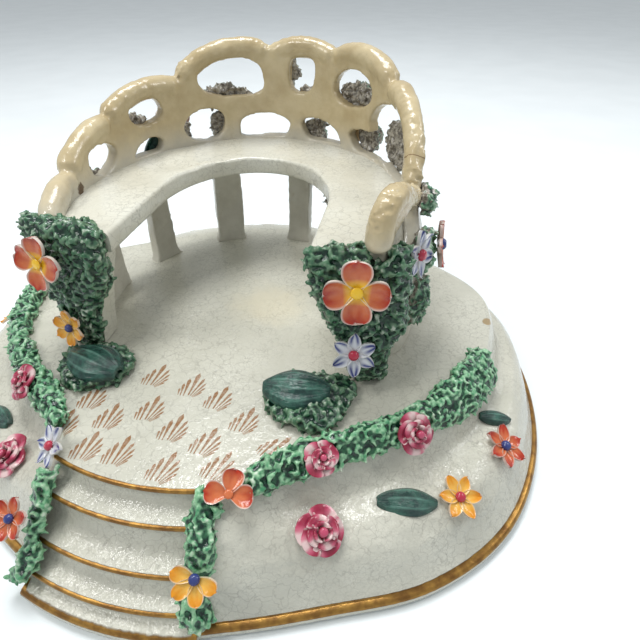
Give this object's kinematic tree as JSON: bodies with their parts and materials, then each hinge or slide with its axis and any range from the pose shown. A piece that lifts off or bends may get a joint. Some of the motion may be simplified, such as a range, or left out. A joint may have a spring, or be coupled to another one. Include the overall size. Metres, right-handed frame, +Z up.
{
  "type": "garden bower figure",
  "caption": "Porcelain garden bower: a pierced horseshoe arbour with a bench on a mound with steps, gilt lines, moss, flowers and leaves.",
  "frame": {"origin": "on the table under the middle of the whole piece's bounding box", "axes": "+Z up, the flight of steps faces -Y, +X to the right as seen from the steps"},
  "size_m": [0.204, 0.191, 0.1041],
  "materials": {
    "white_glaze": "warm grey-white glazed porcelain with fine crackle, gilt lines and sprigs",
    "ivory_glaze": "glazed porcelain, ivory wash",
    "moss_glaze": "glazed porcelain, shredded clay painted green",
    "leaf_glaze": "glazed porcelain, dark blue-green",
    "orange_glaze": "glazed porcelain, orange-red",
    "yellow_glaze": "glazed porcelain, yellow",
    "pink_glaze": "glazed porcelain, rose pink",
    "blue_glaze": "glazed porcelain, blue and white"
  },
  "bodies": {
    "root": {"base": "white_glaze", "bracket_left": "white_glaze", "bracket_right": "white_glaze", "flower_arm_left_side": "blue_glaze", "flower_arm_right_front": "blue_glaze", "flower_arm_right_side": "orange_glaze", "flower_back_left": "orange_glaze", "flower_back_right": "yellow_glaze", "flower_bracket_left_four_petals": "orange_glaze", "flower_bracket_left_six_petals": "yellow_glaze", "flower_bracket_right_four_petals": "orange_glaze", "flower_bracket_right_six_petals": "blue_glaze", "flower_flight_left": "orange_glaze", "flower_flight_right": "yellow_glaze", "flower_garland_left": "blue_glaze", "flower_slope_left_front": "orange_glaze", "flower_slope_left_side": "yellow_glaze", "flower_slope_right_front": "yellow_glaze", "flower_slope_right_side": "orange_glaze", "flower_step_right": "orange_glaze", "leaf_back_left": "leaf_glaze", "leaf_back_right": "leaf_glaze", "leaf_floor_left": "leaf_glaze", "leaf_floor_right": "leaf_glaze", "leaf_slope_left_front": "leaf_glaze", "leaf_slope_right_front": "leaf_glaze", "leaf_slope_right_side": "leaf_glaze", "moss_bracket_left": "moss_glaze", "moss_bracket_right": "moss_glaze", "moss_flight_left": "moss_glaze", "moss_flight_right": "moss_glaze", "moss_garland_left": "moss_glaze", "moss_garland_right": "moss_glaze", "moss_outside_1": "moss_glaze", "moss_outside_10": "moss_glaze", "moss_outside_11": "moss_glaze", "moss_outside_12": "moss_glaze", "moss_outside_13": "moss_glaze", "moss_outside_14": "moss_glaze", "moss_outside_15": "moss_glaze", "moss_outside_2": "moss_glaze", "moss_outside_3": "moss_glaze", "moss_outside_4": "moss_glaze", "moss_outside_5": "moss_glaze", "moss_outside_6": "moss_glaze", "moss_outside_7": "moss_glaze", "moss_outside_8": "moss_glaze", "moss_outside_9": "moss_glaze", "moss_pad_left": "moss_glaze", "moss_pad_right": "moss_glaze", "rose_back_middle": "pink_glaze", "rose_garland_left": "pink_glaze", "rose_garland_right_large": "pink_glaze", "rose_garland_right_small": "pink_glaze", "rose_slope_left": "pink_glaze", "rose_slope_right": "pink_glaze", "seat": "white_glaze", "trellis": "ivory_glaze"}
  },
  "joints": []
}
